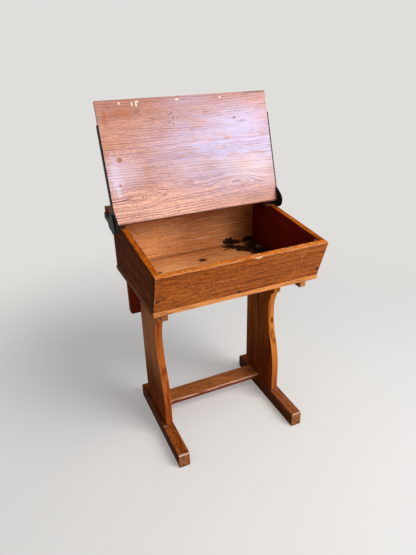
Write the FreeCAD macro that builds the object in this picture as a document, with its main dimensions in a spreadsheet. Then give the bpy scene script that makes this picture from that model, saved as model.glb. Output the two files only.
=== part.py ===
# Old wooden school desk. A box with a sloping top stands on two shaped uprights with long
# floor runners. A flat board lid swings on a pair of cast iron desk hinges, and stands open.
# Millimetres, +Z up, +Y to the rear. The origin is on the floor under the middle of the desk.
import FreeCAD, Part
import math
import os
import re
import Sketcher

SIZES = {
    # Box: raked front board, sides with a sloping top, level rear edge.
    "box_width": 548,
    "box_depth": 448,
    "front_top_height": 714.4,
    "front_drop": 126.1,
    "front_rake": 18.7,
    "top_slope": 6,
    "bottom_fall": 2.4,
    "front_thickness": 20.5,
    "side_thickness": 17,
    "rear_thickness": 17,
    "bottom_thickness": 15,
    "bottom_rear_overhang": 5,
    "bottom_side_overhang": 1.5,
    "edge_round": 2,
    # Fixed ledge across the rear of the slope.
    "ledge_depth": 110.5,
    "ledge_thickness": 20,
    "ledge_rear_overhang": 19.5,
    # Lid, its swing and the notch that its rear corner needs in the sides.
    "lid_side_overhang": 15,
    "lid_depth": 373,
    "lid_thickness": 18,
    "lid_gap": 1.4,
    "lid_rest_gap": 0.3,
    "lid_open_angle": 72.5,
    "lid_corner_round": 5,
    "pivot_inset": 16.6,
    "notch_length": 44.4,
    "notch_depth": 6.5,
    # Iron lid arms, fixed hinge brackets and their pivots.
    "arm_thickness": 4,
    "arm_length": 289,
    "knuckle_radius": 27,
    "knuckle_back": 11,
    "knuckle_drop": 19,
    "knuckle_taper": 32,
    "boss_radius": 10,
    "plate_length": 50,
    "plate_inset": 25,
    "plate_thickness": 8.5,
    "plate_top": 9,
    "plate_bottom": 10,
    "cheek_radius": 32.5,
    "cheek_behind": 6.5,
    "cheek_below": 12.2,
    "iron_gap": 0.4,
    "stop_radius": 4,
    "stop_reach": 18.7,
    "stop_gap": 0.07,
    "pivot_radius": 4,
    "pivot_clearance": 0.06,
    "pivot_head_radius": 8,
    "pivot_head_height": 3.5,
    # Countersunk wood screws that hold the irons.
    "screw_radius": 2,
    "screw_head_depth": 2,
    "screw_length": 22,
    "screw_slot_width": 1,
    "screw_slot_depth": 1,
    "arm_screw_count": 3,
    "arm_screw_start": 66,
    "arm_screw_pitch": 95,
    "plate_screw_count": 2,
    "plate_screw_margin": 12,
    # Uprights with a shaped front edge. Widths run forward from the straight rear edge, and
    # rises run up from the runners.
    "leg_side_inset": 59,
    "leg_rear_inset": 81,
    "leg_thickness": 24,
    "leg_foot_width": 202,
    "leg_straight_rise": 85,
    "swell_share": 0.56,
    "waist_width": 157,
    "waist_rise": 335,
    "throat_radius": 160,
    "throat_rise": 413,
    "lip_width": 192,
    "lip_rise": 423,
    # Runners, stretcher, rear rail and battens.
    "runner_front": 16,
    "runner_rear_reach": 56,
    "runner_width": 37,
    "runner_height": 52.5,
    "runner_inner_step": 3,
    "runner_round": 5,
    "stretcher_rear_inset": 32,
    "stretcher_depth": 71,
    "stretcher_thickness": 15,
    "stretcher_rise": 10.5,
    "stretcher_round": 5,
    "rail_side_inset": 12,
    "rail_thickness": 19,
    "rail_foot_height": 411,
    "rail_corner_round": 8,
    "batten_width": 19,
    "batten_height": 30,
    "batten_front": 61,
    "batten_round": 5,
}

doc = FreeCAD.newDocument("school_desk")
sheet = doc.addObject("Spreadsheet::Sheet", "Sizes")
for row, (alias, size) in enumerate(SIZES.items(), start=1):
    sheet.set(f"A{row}", alias)
    sheet.set(f"B{row}", str(size))
    sheet.setAlias(f"B{row}", alias)
doc.recompute()

ALIAS = re.compile(r"\b(" + "|".join(SIZES) + r")\b")
NEAR = 0.01
TURNED = FreeCAD.Rotation(FreeCAD.Vector(0, 0, 1), 180)
LEFT, RIGHT = -1, 1
HANDS = {"left": LEFT, "right": RIGHT}

# Places that several pieces share, as expressions of the sizes. Across is measured back from
# the front board's top edge, up from the floor. On the slope, "along" runs up the side boards'
# top edges from that same edge, and "off" stands square to them.
HALF_WIDTH = "box_width / 2"
INNER_HALF = "(box_width / 2 - side_thickness)"
LEDGE_END = "(box_depth / cos(top_slope) + ledge_rear_overhang)"
LEDGE_START = f"({LEDGE_END} - ledge_depth)"
PIVOT_ALONG = f"({LEDGE_START} - lid_gap - pivot_inset)"
PIVOT_OFF = "(lid_thickness + lid_rest_gap)"
FRONT_EDGE = ("(edge_round * ((cos(top_slope) + sin(front_rake))"
              " / cos(front_rake - top_slope) - 1))")
REAR_EDGE = f"({LEDGE_END} * cos(top_slope))"
MIDDLE = f"(({FRONT_EDGE} + {REAR_EDGE}) / 2)"
FRONT_FOOT = "(front_drop * tan(front_rake))"
FOOT_HEIGHT = "(front_top_height - front_drop)"
BOTTOM_UPRIGHT = "(bottom_thickness / cos(bottom_fall))"
LEG_REAR = "(box_depth - leg_rear_inset)"
LEG_INNER = "(box_width / 2 - leg_side_inset - leg_thickness / 2)"
LEG_OUTER = "(box_width / 2 - leg_side_inset + leg_thickness / 2)"
# The swell and the hollow of a leg meet in line, so both turn through the same angle.
CURVE_TURN = "(2 * atan((leg_foot_width - waist_width) / (waist_rise - leg_straight_rise)))"
CURVE_REACH = f"((waist_rise - leg_straight_rise) / sin{CURVE_TURN})"
SWELL_RADIUS = f"(swell_share * {CURVE_REACH})"
HOLLOW_RADIUS = f"((1 - swell_share) * {CURVE_REACH})"
SWELL_WIDTH = f"(leg_foot_width - {SWELL_RADIUS} * (1 - cos{CURVE_TURN}))"
SWELL_RISE = f"(leg_straight_rise + {SWELL_RADIUS} * sin{CURVE_TURN})"
THROAT_WIDTH = ("(waist_width + throat_radius"
                " - sqrt(throat_radius ^ 2 - (throat_rise - waist_rise) ^ 2))")
RUNNER_INNER = f"({LEG_INNER} - runner_inner_step)"
RUNNER_REAR = f"({LEG_REAR} + runner_rear_reach)"
STRETCHER_REAR = f"({LEG_REAR} - stretcher_rear_inset)"
STRETCHER_FRONT = f"({STRETCHER_REAR} - stretcher_depth)"
STRETCHER_TOP = "(runner_height + stretcher_rise)"
STRETCHER_FOOT = f"({STRETCHER_TOP} - stretcher_thickness)"
RAIL_HALF = "(box_width / 2 - rail_side_inset)"
LID_HALF = "(box_width / 2 + lid_side_overhang)"
LID_WIDTH = f"(2 * {LID_HALF})"
HEAD_RADIUS = "(screw_radius + screw_head_depth)"
ARM_SCREWS = [(f"(arm_screw_start + {number} * arm_screw_pitch)", "(lid_thickness / 2)")
              for number in range(SIZES["arm_screw_count"])]
PLATE_START = f"({LEDGE_END} - plate_inset - plate_length)"
PLATE_END = f"({LEDGE_END} - plate_inset)"
PLATE_PITCH = "((plate_length - 2 * plate_screw_margin) / (plate_screw_count - 1))"
PLATE_SCREWS = [(f"({PLATE_START} + plate_screw_margin + {number} * {PLATE_PITCH})",
                 "(plate_top / 2)") for number in range(SIZES["plate_screw_count"])]


def top_at(across):
    return f"(front_top_height + ({across}) * tan(top_slope))"


def floor_at(across):
    return f"({FOOT_HEIGHT} - (({across}) - {FRONT_FOOT}) * tan(bottom_fall))"


def underside_at(across):
    return f"({floor_at(across)} - {BOTTOM_UPRIGHT})"


def formula(text):
    return ALIAS.sub(r"Sizes.\1", str(text))


def value(text):
    result = doc.Sizes.evalExpression(formula(text))
    return float(getattr(result, "Value", result))


def bind(item, path, text):
    item.setExpression(path, formula(text))


def origin_plane(body, role):
    return next(plane for plane in body.Origin.OriginFeatures if plane.Role == role)


def new_sketch(body, name, offset="0", role="YZ_Plane"):
    """Sketch on one of the body's own planes: on YZ_Plane across is +Y, up is +Z."""
    sketch = body.newObject("Sketcher::SketchObject", f"{body.Name}_{name}")
    sketch.AttachmentSupport = (origin_plane(body, role), [""])
    sketch.MapMode = "FlatFace"
    bind(sketch, "AttachmentOffset.Base.z", offset)
    return sketch


def bind_constraint(sketch, constraint, text):
    bind(sketch, f"Constraints[{sketch.addConstraint(constraint)}]", text)


def arc_between(start, end, radius):
    """Counter-clockwise arc of the shorter way round."""
    chord = end - start
    side = FreeCAD.Vector(chord.y, -chord.x, 0).normalize()
    rise = math.sqrt(radius ** 2 - (chord.Length / 2) ** 2)
    return Part.Arc(start, (start + end) * 0.5 + side * (radius - rise), end)


def outline(sketch, corners):
    """Closed outline. A corner is (across, up), or (across, up, radius) where the edge that
    leaves it is an arc, which bows to the right of the way along, or to the left where the
    radius has a minus sign."""
    spots = [FreeCAD.Vector(value(corner[0]), value(corner[1]), 0) for corner in corners]
    count = len(corners)
    ends = []
    for index, corner in enumerate(corners):
        start, end = spots[index], spots[(index + 1) % count]
        if len(corner) == 3:
            radius = value(corner[2])
            if radius > 0:
                edge = sketch.addGeometry(arc_between(start, end, radius))
                ends.append((edge, 1, 2))
            else:
                edge = sketch.addGeometry(arc_between(end, start, -radius))
                ends.append((edge, 2, 1))
            rule = Sketcher.Constraint("Radius", edge, abs(radius))
            bind_constraint(sketch, rule, f"abs({corner[2]})")
        else:
            edge = sketch.addGeometry(Part.LineSegment(start, end))
            ends.append((edge, 1, 2))
    for index, corner in enumerate(corners):
        edge, first, _ = ends[index]
        before, _, last = ends[index - 1]
        sketch.addConstraint(Sketcher.Constraint("Coincident", before, last, edge, first))
        for kind, text in (("DistanceX", corner[0]), ("DistanceY", corner[1])):
            rule = Sketcher.Constraint(kind, -1, 1, edge, first, value(text))
            bind_constraint(sketch, rule, text)


def circle(sketch, across, up, radius):
    centre = FreeCAD.Vector(value(across), value(up), 0)
    ring = sketch.addGeometry(Part.Circle(centre, FreeCAD.Vector(0, 0, 1), value(radius)))
    bind_constraint(sketch, Sketcher.Constraint("Radius", ring, value(radius)), radius)
    for kind, text in (("DistanceX", across), ("DistanceY", up)):
        rule = Sketcher.Constraint(kind, -1, 1, ring, 3, value(text))
        bind_constraint(sketch, rule, text)


def pad(body, name, sketch, length, outward=RIGHT):
    board = body.newObject("PartDesign::Pad", f"{body.Name}_{name}")
    board.Profile = sketch
    board.Reversed = outward == LEFT
    bind(board, "Length", length)
    doc.recompute()
    return board


def pocket(body, name, sketch, depth, outward=RIGHT):
    """Cut that starts at the sketch and goes the same way as the piece's pad."""
    cut = body.newObject("PartDesign::Pocket", f"{body.Name}_{name}")
    cut.Profile = sketch
    cut.Reversed = outward == RIGHT
    bind(cut, "Length", depth)
    doc.recompute()
    return cut


def edges_along(feature, spots):
    """Names of the straight edges that run along X through the given places in the outline."""
    wanted = [(value(across), value(up)) for across, up in spots]
    names = []
    for number, edge in enumerate(feature.Shape.Edges, start=1):
        start, end = edge.Vertexes[0].Point, edge.Vertexes[-1].Point
        level = math.hypot(start.y - end.y, start.z - end.z) < NEAR
        if level and any(math.hypot(start.y - y, start.z - z) < NEAR for y, z in wanted):
            names.append(f"Edge{number}")
    return names


def rounded(body, feature, spots, radius):
    """Rounds the arrises that run along X through the given places."""
    fillet = body.newObject("PartDesign::Fillet", f"{feature.Name}_round")
    fillet.Base = (feature, edges_along(feature, spots))
    bind(fillet, "Radius", radius)
    doc.recompute()
    return fillet


def countersunk_holes(body, spots, thickness, outward):
    """Screw holes through an iron that lies against a board's end, countersunk outside."""
    sketch = new_sketch(body, "screw_holes_outline")
    for across, up in spots:
        circle(sketch, across, up, "screw_radius")
    holes = pocket(body, "screw_holes", sketch, thickness, outward)
    face, radius = outward * value(thickness), value("screw_radius")
    mouths = []
    for number, edge in enumerate(holes.Shape.Edges, start=1):
        ring = isinstance(edge.Curve, Part.Circle) and abs(edge.Curve.Radius - radius) < NEAR
        if ring and abs(edge.Curve.Center.x - face) < NEAR:
            mouths.append(f"Edge{number}")
    sinks = body.newObject("PartDesign::Chamfer", f"{body.Name}_countersinks")
    sinks.Base = (holes, mouths)
    bind(sinks, "Size", "screw_head_depth")
    doc.recompute()


def pilot_holes(body, spots, iron_thickness):
    """Screw holes in both ends of a board as wide as the lid, for screws through an iron."""
    depth = f"(screw_length - {iron_thickness})"
    for name, end, outward in (("left", "0", RIGHT), ("right", LID_WIDTH, LEFT)):
        sketch = new_sketch(body, f"{name}_pilots_outline", end)
        for across, up in spots:
            circle(sketch, across, up, "screw_radius")
        pocket(body, f"{name}_pilots", sketch, depth, outward)


def on_desk(body, start):
    """Places a piece that is drawn in the desk's own upright frame."""
    bind(body, "Placement.Base.x", start)
    bind(body, "Placement.Base.y", f"-{MIDDLE}")


def on_slope(body, start):
    """Places a piece that is drawn along the slope of the side boards' top edges."""
    on_desk(body, start)
    bind(body, "Placement.Base.z", "front_top_height")
    body.Placement.Rotation = FreeCAD.Rotation(FreeCAD.Vector(1, 0, 0), 1)
    bind(body, "Placement.Rotation.Angle", "top_slope * 1 deg")


def on_pivot(body, start):
    """Puts a piece at the line of the pivots."""
    across = f"{PIVOT_ALONG} * cos(top_slope) - {PIVOT_OFF} * sin(top_slope)"
    up = f"front_top_height + {PIVOT_ALONG} * sin(top_slope) + {PIVOT_OFF} * cos(top_slope)"
    bind(body, "Placement.Base.x", start)
    bind(body, "Placement.Base.y", f"{across} - {MIDDLE}")
    bind(body, "Placement.Base.z", up)


def on_lid(body, start):
    """Places a piece drawn in the open lid's frame: across runs from the pivots to the free
    edge, and up is towards the lid's underside."""
    on_pivot(body, start)
    body.Placement.Rotation = FreeCAD.Rotation(FreeCAD.Vector(1, 0, 0), 1)
    bind(body, "Placement.Rotation.Angle", "lid_open_angle * 1 deg")


def new_piece(name):
    body = doc.addObject("PartDesign::Body", name)
    body.Label = name
    return body


# Front board: raked, as wide as the box, over the ends of the side boards. Its top edge is
# planed to the slope and its lower edge to the fall of the bottom board.
def front_board():
    body = new_piece("front_board")
    level = "(front_thickness / cos(front_rake))"
    top_in = f"({level} / (1 + tan(top_slope) * tan(front_rake)))"
    foot_in = f"({FRONT_FOOT} + {level} / (1 - tan(bottom_fall) * tan(front_rake)))"
    corners = [("0", "front_top_height"), (FRONT_FOOT, FOOT_HEIGHT),
               (foot_in, floor_at(foot_in)), (top_in, top_at(top_in))]
    sketch = new_sketch(body, "outline")
    outline(sketch, corners)
    board = pad(body, "board", sketch, "box_width")
    rounded(body, board, [corners[0], corners[3]], "edge_round")
    on_desk(body, f"-{HALF_WIDTH}")
    return top_in, foot_in


# Side boards: between the front board and the rear edge of the box. The shallow notch in the
# top edge lets the lid's lower rear corner swing past.
def side_board(hand, outward, top_in, foot_in):
    body = new_piece(f"{hand}_side")
    rear = "box_depth"
    notch_end = f"({LEDGE_START} * cos(top_slope))"
    notch_start = f"({notch_end} - notch_length * cos(top_slope))"
    drop = "(notch_depth / cos(top_slope))"
    lean = "(notch_depth * sin(top_slope))"
    sunk_start = f"({notch_start} + {lean})"
    sunk_end = f"({notch_end} + {lean})"
    corners = [(top_in, top_at(top_in)), (foot_in, floor_at(foot_in)),
               (rear, floor_at(rear)), (rear, top_at(rear)),
               (notch_end, top_at(notch_end)),
               (sunk_end, f"({top_at(sunk_end)} - {drop})"),
               (sunk_start, f"({top_at(sunk_start)} - {drop})"),
               (notch_start, top_at(notch_start))]
    sketch = new_sketch(body, "outline")
    outline(sketch, corners)
    pad(body, "board", sketch, "side_thickness", outward)
    on_desk(body, f"{outward} * {INNER_HALF}")


# Rear board: upright between the sides, under the ledge.
def rear_board():
    body = new_piece("rear_board")
    inner = "(box_depth - rear_thickness)"
    sketch = new_sketch(body, "outline")
    outline(sketch, [(inner, top_at(inner)), (inner, floor_at(inner)),
                     ("box_depth", floor_at("box_depth")), ("box_depth", top_at("box_depth"))])
    pad(body, "board", sketch, f"2 * {INNER_HALF}")
    on_desk(body, f"-{INNER_HALF}")


# Bottom board: under the sides and the front, a little proud at the sides and the rear.
def bottom_board():
    body = new_piece("bottom_board")
    rear = "(box_depth + bottom_rear_overhang)"
    corners = [(FRONT_FOOT, FOOT_HEIGHT), (FRONT_FOOT, underside_at(FRONT_FOOT)),
               (rear, underside_at(rear)), (rear, floor_at(rear))]
    sketch = new_sketch(body, "outline")
    outline(sketch, corners)
    board = pad(body, "board", sketch, "box_width + 2 * bottom_side_overhang")
    rounded(body, board, corners[1:], "edge_round")
    on_desk(body, f"-{HALF_WIDTH} - bottom_side_overhang")


# Fixed ledge: lies on the side boards and the rear board behind the lid.
def rear_ledge():
    body = new_piece("rear_ledge")
    corners = [(LEDGE_START, "0"), (LEDGE_END, "0"),
               (LEDGE_END, "ledge_thickness"), (LEDGE_START, "ledge_thickness")]
    sketch = new_sketch(body, "outline")
    outline(sketch, corners)
    board = pad(body, "board", sketch, LID_WIDTH)
    rounded(body, board, corners[2:], "edge_round")
    pilot_holes(body, PLATE_SCREWS, "plate_thickness")
    on_slope(body, f"-{LID_HALF}")


# Lid: one flat board, drawn open, with its upper face through the line of the pivots.
def lid():
    body = new_piece("lid")
    rear = "(-pivot_inset)"
    free = f"({rear} + lid_depth)"
    corners = [(rear, "0"), (free, "0"), (free, "lid_thickness"), (rear, "lid_thickness")]
    sketch = new_sketch(body, "outline")
    outline(sketch, corners)
    board = pad(body, "board", sketch, LID_WIDTH)
    softened = rounded(body, board, corners[1:3], "edge_round")
    rounded(body, softened, corners[3:], "lid_corner_round")
    pilot_holes(body, ARM_SCREWS, "arm_thickness")
    on_lid(body, f"-{LID_HALF}")


# Lid arm: a flat iron bar as wide as the lid is thick, on the lid's end, with a round tip. It
# swells into a round knuckle below the lid, and a boss carries the eye for the pivot.
def lid_arm(hand, outward):
    body = new_piece(f"{hand}_lid_arm")
    tip = "(lid_thickness / 2)"
    # Where the taper touches the knuckle, seen from the knuckle's middle.
    ahead, below = "(knuckle_taper + knuckle_back)", "(lid_thickness - knuckle_drop)"
    turn = (f"(atan2({below}; {ahead})"
            f" + acos(knuckle_radius / sqrt({ahead} ^ 2 + {below} ^ 2)))")
    touch = (f"(-knuckle_back + knuckle_radius * cos({turn}))",
             f"(knuckle_drop + knuckle_radius * sin({turn}))")
    # Where the knuckle's round meets the boss.
    reach = "sqrt(knuckle_back ^ 2 + knuckle_drop ^ 2)"
    chord = f"((knuckle_radius ^ 2 - boss_radius ^ 2 + {reach} ^ 2) / (2 * {reach}))"
    side = f"sqrt(knuckle_radius ^ 2 - {chord} ^ 2)"
    meet = (f"(-knuckle_back + ({chord} * knuckle_back - {side} * knuckle_drop) / {reach})",
            f"(knuckle_drop - ({chord} * knuckle_drop + {side} * knuckle_back) / {reach})")
    sketch = new_sketch(body, "outline")
    outline(sketch, [("boss_radius", "0"), (f"arm_length - {tip}", "0", tip),
                     ("arm_length", tip, tip), (f"arm_length - {tip}", "lid_thickness"),
                     ("knuckle_taper", "lid_thickness"), (*touch, "knuckle_radius"),
                     ("-knuckle_back - knuckle_radius", "knuckle_drop", "knuckle_radius"),
                     (*meet, "boss_radius")])
    pad(body, "bar", sketch, "arm_thickness", outward)
    eye = new_sketch(body, "eye_outline")
    circle(eye, "0", "0", "pivot_radius + pivot_clearance")
    pocket(body, "eye", eye, "arm_thickness", outward)
    countersunk_holes(body, ARM_SCREWS, "arm_thickness", outward)
    on_lid(body, f"{outward} * {LID_HALF}")


# Hinge bracket: a casting with a thick plate on the ledge's end, a thinner cheek that stands
# outside the knuckle, and a lug on the cheek that stops the open arm.
def hinge_bracket(hand, outward):
    body = new_piece(f"{hand}_hinge_bracket")
    cheek_step = "(arm_thickness + iron_gap)"
    cheek_thickness = f"(plate_thickness - {cheek_step})"
    cheek_middle = f"({PIVOT_ALONG} + cheek_behind)"
    lean = "(lid_open_angle - top_slope)"
    stop_off = "(stop_radius + stop_gap)"
    stop = (f"({PIVOT_ALONG} + stop_reach * cos({lean}) + {stop_off} * sin({lean}))",
            f"({PIVOT_OFF} + stop_reach * sin({lean}) - {stop_off} * cos({lean}))")

    plate = new_sketch(body, "plate_outline")
    outline(plate, [(PLATE_START, "-plate_bottom"), (PLATE_END, "-plate_bottom"),
                    (PLATE_END, "plate_top"), (PLATE_START, "plate_top")])
    pad(body, "plate", plate, "plate_thickness", outward)

    neck = new_sketch(body, "neck_outline", f"{outward} * {cheek_step}")
    outline(neck, [(cheek_middle, "-plate_bottom"), (PLATE_START, "-plate_bottom"),
                   (PLATE_START, "plate_top"), (cheek_middle, "plate_top")])
    pad(body, "neck", neck, cheek_thickness, outward)

    cheek = new_sketch(body, "cheek_outline", f"{outward} * {cheek_step}")
    circle(cheek, cheek_middle, f"({PIVOT_OFF} - cheek_below)", "cheek_radius")
    pad(body, "cheek", cheek, cheek_thickness, outward)

    lug = new_sketch(body, "lug_outline", f"{outward} * iron_gap")
    circle(lug, stop[0], stop[1], "stop_radius")
    pad(body, "lug", lug, "plate_thickness - iron_gap", outward)

    seat = new_sketch(body, "seat_outline")
    circle(seat, PIVOT_ALONG, PIVOT_OFF, "pivot_radius")
    pocket(body, "seat", seat, "plate_thickness", outward)
    countersunk_holes(body, PLATE_SCREWS, "plate_thickness", outward)
    on_slope(body, f"{outward} * {LID_HALF}")


# Pivot: a rivet held in the bracket's cheek, with a domed head outside.
def pivot(hand, outward):
    body = new_piece(f"{hand}_pivot")
    shank = "(plate_thickness - iron_gap / 2)"
    dome = "((pivot_head_radius ^ 2 + pivot_head_height ^ 2) / (2 * pivot_head_height))"
    sketch = new_sketch(body, "outline", role="XZ_Plane")
    outline(sketch, [("0", "0"), (f"{shank} + pivot_head_height", "0", dome),
                     (shank, "pivot_head_radius"), (shank, "pivot_radius"),
                     ("0", "pivot_radius")])
    turned = body.newObject("PartDesign::Revolution", f"{hand}_pivot_turned")
    turned.Profile = sketch
    turned.ReferenceAxis = (sketch, ["H_Axis"])
    turned.Angle = 360
    on_pivot(body, f"{outward} * ({LID_HALF} + iron_gap / 2)")
    if outward == LEFT:
        body.Placement.Rotation = TURNED


# Upright: a wide board with a straight rear edge. The front edge rises straight from the
# runner, then swells and hollows in one smooth curve to the waist, and opens out to a straight
# lip under the box.
def leg(hand, outward):
    body = new_piece(f"{hand}_leg")

    def edge(width, rise, *radius):
        return (f"({LEG_REAR} - {width})", f"(runner_height + {rise})", *radius)

    lip = f"({LEG_REAR} - lip_width)"
    sketch = new_sketch(body, "outline")
    outline(sketch, [(LEG_REAR, "runner_height"), (LEG_REAR, underside_at(LEG_REAR)),
                     (lip, underside_at(lip)),
                     edge("lip_width", "lip_rise"),
                     edge(THROAT_WIDTH, "throat_rise", "-throat_radius"),
                     edge("waist_width", "waist_rise", f"-{HOLLOW_RADIUS}"),
                     edge(SWELL_WIDTH, SWELL_RISE, SWELL_RADIUS),
                     edge("leg_foot_width", "leg_straight_rise"),
                     edge("leg_foot_width", "0")])
    pad(body, "board", sketch, "leg_thickness", outward)
    on_desk(body, f"{outward} * {LEG_INNER}")


# Floor runner: a long block under the upright, with its top ends eased and a shallow housing
# in the inner top edge for the stretcher.
def runner(hand, outward):
    body = new_piece(f"{hand}_foot")
    corners = [("runner_front", "0"), (RUNNER_REAR, "0"), (RUNNER_REAR, "runner_height"),
               ("runner_front", "runner_height")]
    sketch = new_sketch(body, "outline")
    outline(sketch, corners)
    block = pad(body, "block", sketch, "runner_width", outward)
    rounded(body, block, corners[2:], "runner_round")
    housing = new_sketch(body, "housing_outline")
    outline(housing, [(STRETCHER_FRONT, STRETCHER_FOOT), (STRETCHER_REAR, STRETCHER_FOOT),
                      (STRETCHER_REAR, "runner_height"), (STRETCHER_FRONT, "runner_height")])
    pocket(body, "housing", housing, "runner_inner_step", outward)
    on_desk(body, f"{outward} * {RUNNER_INNER}")


# Stretcher: lies flat between the uprights, let into the runners.
def stretcher():
    body = new_piece("stretcher")
    corners = [(STRETCHER_FRONT, STRETCHER_FOOT), (STRETCHER_REAR, STRETCHER_FOOT),
               (STRETCHER_REAR, STRETCHER_TOP), (STRETCHER_FRONT, STRETCHER_TOP)]
    sketch = new_sketch(body, "outline")
    outline(sketch, corners)
    board = pad(body, "board", sketch, f"2 * {LEG_INNER}")
    worn = rounded(body, board, [corners[3]], "stretcher_round")
    rounded(body, worn, [corners[2]], "edge_round")
    on_desk(body, f"-{LEG_INNER}")


# Rear rail: across the rear edges of the uprights, tight under the box, with its lower corners
# rounded.
def rear_rail():
    body = new_piece("rear_rail")
    rear = f"({LEG_REAR} + rail_thickness)"
    sketch = new_sketch(body, "outline")
    outline(sketch, [(LEG_REAR, "rail_foot_height"), (rear, "rail_foot_height"),
                     (rear, underside_at(rear)), (LEG_REAR, underside_at(LEG_REAR))])
    board = pad(body, "board", sketch, f"2 * {RAIL_HALF}")
    foot = value("rail_foot_height")
    ends = []
    for number, edge in enumerate(board.Shape.Edges, start=1):
        start, end = edge.Vertexes[0].Point, edge.Vertexes[-1].Point
        at_foot = abs(start.z - foot) < NEAR and abs(end.z - foot) < NEAR
        if at_foot and abs(start.x - end.x) < NEAR:
            ends.append(f"Edge{number}")
    corners = body.newObject("PartDesign::Fillet", "rear_rail_corners")
    corners.Base = (board, ends)
    bind(corners, "Radius", "rail_corner_round")
    on_desk(body, f"-{RAIL_HALF}")


# Batten: on the outer face of an upright, under the bottom board, from the rail to the front.
def batten(hand, outward):
    body = new_piece(f"{hand}_cleat")

    def lower(across):
        return f"({underside_at(across)} - batten_height)"

    corners = [("batten_front", underside_at("batten_front")),
               ("batten_front", lower("batten_front")),
               (LEG_REAR, lower(LEG_REAR)), (LEG_REAR, underside_at(LEG_REAR))]
    sketch = new_sketch(body, "outline")
    outline(sketch, corners)
    board = pad(body, "board", sketch, "batten_width", outward)
    rounded(body, board, corners[1:2], "batten_round")
    on_desk(body, f"{outward} * {LEG_OUTER}")


# Wood screw: slotted, countersunk, along X, with the face of its head at the start.
def wood_screw(name, outward, start, across, up):
    head = doc.addObject("Part::Cone", f"{name}_head")
    bind(head, "Radius1", HEAD_RADIUS)
    bind(head, "Radius2", "screw_radius")
    bind(head, "Height", "screw_head_depth")
    shank = doc.addObject("Part::Cylinder", f"{name}_shank")
    bind(shank, "Radius", "screw_radius")
    bind(shank, "Height", "screw_length")
    blank = doc.addObject("Part::Fuse", f"{name}_blank")
    blank.Base, blank.Tool = head, shank
    slot = doc.addObject("Part::Box", f"{name}_slot")
    bind(slot, "Length", f"2 * {HEAD_RADIUS}")
    bind(slot, "Width", "screw_slot_width")
    bind(slot, "Height", "screw_slot_depth")
    bind(slot, "Placement.Base.x", f"-{HEAD_RADIUS}")
    bind(slot, "Placement.Base.y", "-screw_slot_width / 2")
    screw = doc.addObject("Part::Cut", name)
    screw.Base, screw.Tool = blank, slot
    screw.Placement.Rotation = FreeCAD.Rotation(FreeCAD.Vector(0, 1, 0), -90 * outward)
    bind(screw, "Placement.Base.x", f"{outward} * {start}")
    bind(screw, "Placement.Base.y", across)
    bind(screw, "Placement.Base.z", up)
    return screw


# The screws of both irons of a kind, as one group.
def screw_group(name, spots, iron_thickness, place):
    start = f"({LID_HALF} + {iron_thickness})"
    group = doc.addObject("Part::Compound", name)
    group.Label = name
    group.Links = [wood_screw(f"{name}_{hand}_{number}", outward, start, across, up)
                   for hand, outward in HANDS.items()
                   for number, (across, up) in enumerate(spots, start=1)]
    place(group, "0")


TOP_IN, FOOT_IN = front_board()
rear_board()
bottom_board()
rear_ledge()
lid()
stretcher()
rear_rail()
for side_name, direction in HANDS.items():
    side_board(side_name, direction, TOP_IN, FOOT_IN)
    leg(side_name, direction)
    runner(side_name, direction)
    batten(side_name, direction)
    lid_arm(side_name, direction)
    hinge_bracket(side_name, direction)
    pivot(side_name, direction)

screw_group("arm_screws", ARM_SCREWS, "arm_thickness", on_lid)
screw_group("bracket_screws", PLATE_SCREWS, "plate_thickness", on_slope)

doc.recompute()
for item in doc.Objects:
    if "Invalid" in item.State or "Error" in item.State:
        raise RuntimeError(f"{item.Label}: {item.State}")

os.makedirs("parts", exist_ok=True)
for piece in doc.Objects:
    if piece.TypeId not in ("PartDesign::Body", "Part::Compound"):
        continue
    if piece.Shape.isNull() or not piece.Shape.isValid() or not piece.Shape.Solids:
        raise RuntimeError(f"{piece.Label}: no valid solid")
    piece.Shape.exportStep(f"parts/{piece.Label}.step")
    print(f"{piece.Label}: {piece.Shape.Volume / 1000:.1f} cm3, {piece.Shape.BoundBox}")
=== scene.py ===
import math

import bmesh
import bpy
from mathutils import Matrix, Vector


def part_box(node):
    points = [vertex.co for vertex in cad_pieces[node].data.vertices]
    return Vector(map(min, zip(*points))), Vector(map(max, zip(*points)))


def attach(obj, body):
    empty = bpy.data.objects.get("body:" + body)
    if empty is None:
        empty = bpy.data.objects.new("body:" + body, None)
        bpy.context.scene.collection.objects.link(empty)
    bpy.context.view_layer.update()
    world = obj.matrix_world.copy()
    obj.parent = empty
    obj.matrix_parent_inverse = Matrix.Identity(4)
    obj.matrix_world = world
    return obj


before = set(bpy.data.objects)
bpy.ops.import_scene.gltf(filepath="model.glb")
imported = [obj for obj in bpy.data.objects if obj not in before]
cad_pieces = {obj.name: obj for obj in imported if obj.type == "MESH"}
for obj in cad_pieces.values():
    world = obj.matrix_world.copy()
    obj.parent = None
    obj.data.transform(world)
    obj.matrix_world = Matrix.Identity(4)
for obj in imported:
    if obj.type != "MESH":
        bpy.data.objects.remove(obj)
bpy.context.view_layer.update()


# Front board of the book box: one plank of red-brown hardwood, oiled and waxed, its grain across the desk.
# It leans outwards and is nailed to the ends of the side boards. Its top edge is rubbed back to bright
# orange wood.

def shade(red, green, blue):
    """A colour as seen on the piece, 0 to 255, in the numbers that a finish takes."""
    channels = []
    for value in (red, green, blue):
        value = value / 255
        channels.append(value / 12.92 if value <= 0.04045 else ((value + 0.055) / 1.055) ** 2.4)
    return (*channels, 1)


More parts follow.
